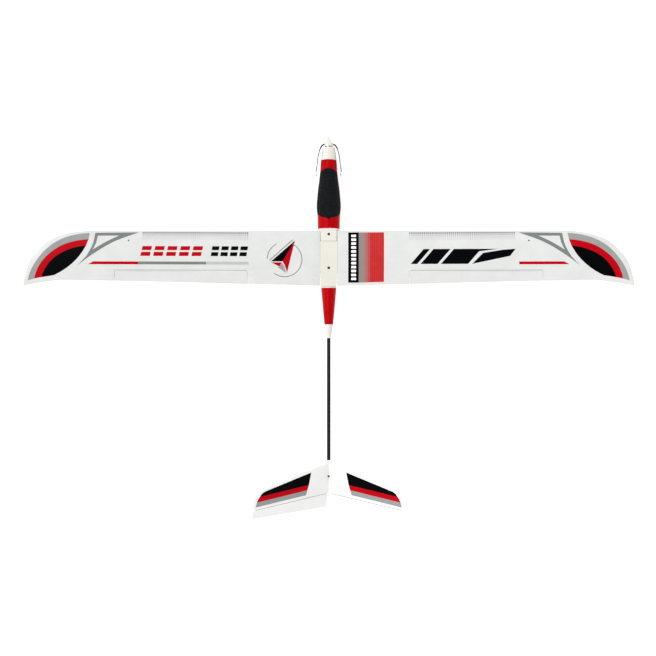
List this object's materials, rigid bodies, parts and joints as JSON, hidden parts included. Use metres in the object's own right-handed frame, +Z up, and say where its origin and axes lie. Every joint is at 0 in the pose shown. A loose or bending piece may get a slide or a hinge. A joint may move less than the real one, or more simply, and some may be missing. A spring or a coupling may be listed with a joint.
{
  "type": "radio controlled sailplane",
  "caption": "V-tail electric sailplane with pod fuselage, carbon boom, two-panel foam wing, folding propeller, lift-off canopy hatch and hinged control surfaces.",
  "frame": {"origin": "centre of the bounding box, at the height of the flat belly the model stands on", "axes": "+X towards the right wing tip, +Y towards the nose, +Z up"},
  "size_m": [1.8, 1.116, 0.2286],
  "materials": {
    "foam_white": "satin",
    "pod_white": "gloss",
    "pod_cream": "satin",
    "canopy_black": "matte",
    "carbon": "satin",
    "steel": "satin",
    "dark_steel": "satin",
    "motor_steel": "satin",
    "aluminium": "satin",
    "blade_black": "gloss",
    "black_plastic": "satin",
    "plywood": "matte",
    "battery_wrap": "satin",
    "strap": "matte",
    "circuit": "satin"
  },
  "bodies": {
    "airframe": {"fuselage_shell_left": "pod_white", "fuselage_shell_right": "pod_white", "firewall": "plywood", "motor_stator": "aluminium", "motor_screws": "dark_steel", "battery_tray": "plywood", "battery_pack": "battery_wrap", "battery_strap": "strap", "speed_controller": "circuit", "receiver": "circuit", "tail_servo_left": "black_plastic", "tail_servo_right": "black_plastic", "wing_saddle": "plywood", "wing_nuts": "steel", "wing_center_section": "pod_cream", "wing_front_block": "pod_cream", "wing_bolts": "dark_steel", "wing_spar_left": "carbon", "wing_spar_right": "carbon", "wing_peg_left": "carbon", "wing_peg_right": "carbon", "wing_panel_left": "foam_white", "wing_panel_right": "foam_white", "aileron_servo_left": "black_plastic", "aileron_servo_right": "black_plastic", "spar_end_plug_left": "black_plastic", "spar_end_plug_right": "black_plastic", "tail_boom": "carbon", "boom_collar": "black_plastic", "tail_mount": "black_plastic", "tail_screw": "dark_steel", "stabilizer_left": "foam_white", "stabilizer_right": "foam_white"},
    "propeller": {"motor_can": "motor_steel", "spinner_backplate": "aluminium", "spinner_cone": "pod_white", "blade_yoke": "aluminium", "blade_pins": "steel"},
    "blade_left": {"prop_blade_left": "blade_black"},
    "blade_right": {"prop_blade_right": "blade_black"},
    "canopy": {"canopy_hatch": "canopy_black", "canopy_magnets": "steel"},
    "aileron_left": {"aileron_left": "foam_white", "aileron_horn_left": "black_plastic"},
    "aileron_lever_left": {"aileron_servo_arm_left": "black_plastic"},
    "aileron_link_left": {"aileron_pushrod_left": "steel"},
    "ruddervator_left": {"ruddervator_left": "foam_white", "tail_horn_left": "black_plastic"},
    "tail_link_left": {"tail_pushrod_left": "steel"},
    "tail_lever_left": {"tail_servo_arm_left": "black_plastic"},
    "aileron_right": {"aileron_right": "foam_white", "aileron_horn_right": "black_plastic"},
    "aileron_lever_right": {"aileron_servo_arm_right": "black_plastic"},
    "aileron_link_right": {"aileron_pushrod_right": "steel"},
    "ruddervator_right": {"ruddervator_right": "foam_white", "tail_horn_right": "black_plastic"},
    "tail_link_right": {"tail_pushrod_right": "steel"},
    "tail_lever_right": {"tail_servo_arm_right": "black_plastic"}
  },
  "joints": [
    {"name": "prop_spin", "type": "hinge", "parent": "airframe", "child": "propeller", "pos_m": [0, 0.53, 0.042], "axis": [0, 1, 0], "continuous": true},
    {"name": "blade_left_fold", "type": "hinge", "parent": "propeller", "child": "blade_left", "pos_m": [-0.01, 0.5365, 0.042], "axis": [0, 0, -1], "range_deg": [0, 76]},
    {"name": "blade_right_fold", "type": "hinge", "parent": "propeller", "child": "blade_right", "pos_m": [0.01, 0.5365, 0.042], "axis": [0, 0, 1], "range_deg": [0, 76]},
    {"name": "canopy_lift", "type": "slide", "parent": "airframe", "child": "canopy", "axis": [0, 0, 1], "range_m": [0, 0.06]},
    {"name": "aileron_left_hinge", "type": "hinge", "parent": "airframe", "child": "aileron_left", "pos_m": [-0.24, 0.1545, 0.08793], "axis": [0.9992, 0, -0.0397], "range_deg": [-20, 20]},
    {"name": "aileron_left_servo", "type": "hinge", "parent": "airframe", "child": "aileron_lever_left", "pos_m": [-0.3522, 0.2065, 0.08738], "axis": [0.9992, 0, -0.0397], "range_deg": [-20.5, 20.5]},
    {"name": "aileron_left_rod", "type": "hinge", "parent": "aileron_lever_left", "child": "aileron_link_left", "pos_m": [-0.35284, 0.2065, 0.0714], "axis": [0.9992, 0, -0.0397], "range_deg": [-20.5, 20.5]},
    {"name": "ruddervator_left_hinge", "type": "hinge", "parent": "airframe", "child": "ruddervator_left", "pos_m": [-0.00748, -0.5093, 0.07863], "axis": [0.8075, 0.0986, -0.5816], "range_deg": [-20, 20]},
    {"name": "tail_left_rod", "type": "slide", "parent": "airframe", "child": "tail_link_left", "axis": [0, 1, 0], "range_m": [-0.0036, 0.0036]},
    {"name": "tail_left_servo", "type": "hinge", "parent": "airframe", "child": "tail_lever_left", "pos_m": [-0.0036, 0.221, 0.044], "axis": [1, 0, 0], "range_deg": [-20.5, 20.5]},
    {"name": "aileron_right_hinge", "type": "hinge", "parent": "airframe", "child": "aileron_right", "pos_m": [0.24, 0.1545, 0.08793], "axis": [0.9992, 0, 0.0397], "range_deg": [-20, 20]},
    {"name": "aileron_right_servo", "type": "hinge", "parent": "airframe", "child": "aileron_lever_right", "pos_m": [0.3522, 0.2065, 0.08738], "axis": [0.9992, 0, 0.0397], "range_deg": [-20.5, 20.5]},
    {"name": "aileron_right_rod", "type": "hinge", "parent": "aileron_lever_right", "child": "aileron_link_right", "pos_m": [0.35284, 0.2065, 0.0714], "axis": [0.9992, 0, 0.0397], "range_deg": [-20.5, 20.5]},
    {"name": "ruddervator_right_hinge", "type": "hinge", "parent": "airframe", "child": "ruddervator_right", "pos_m": [0.00748, -0.5093, 0.07863], "axis": [0.8075, -0.0986, 0.5816], "range_deg": [-20, 20]},
    {"name": "tail_right_rod", "type": "slide", "parent": "airframe", "child": "tail_link_right", "axis": [0, 1, 0], "range_m": [-0.0036, 0.0036]},
    {"name": "tail_right_servo", "type": "hinge", "parent": "airframe", "child": "tail_lever_right", "pos_m": [0.0036, 0.221, 0.044], "axis": [1, 0, 0], "range_deg": [-20.5, 20.5]}
  ],
  "couplings": [
    {"joint": "aileron_left_servo", "follows": "aileron_left_hinge", "ratio": 1},
    {"joint": "aileron_left_rod", "follows": "aileron_left_hinge", "ratio": -1},
    {"joint": "tail_left_rod", "follows": "ruddervator_left_hinge", "m_per_rad": 0.01},
    {"joint": "tail_left_servo", "follows": "ruddervator_left_hinge", "ratio": -1},
    {"joint": "aileron_right_servo", "follows": "aileron_right_hinge", "ratio": 1},
    {"joint": "aileron_right_rod", "follows": "aileron_right_hinge", "ratio": -1},
    {"joint": "tail_right_rod", "follows": "ruddervator_right_hinge", "m_per_rad": 0.01},
    {"joint": "tail_right_servo", "follows": "ruddervator_right_hinge", "ratio": -1}
  ]
}
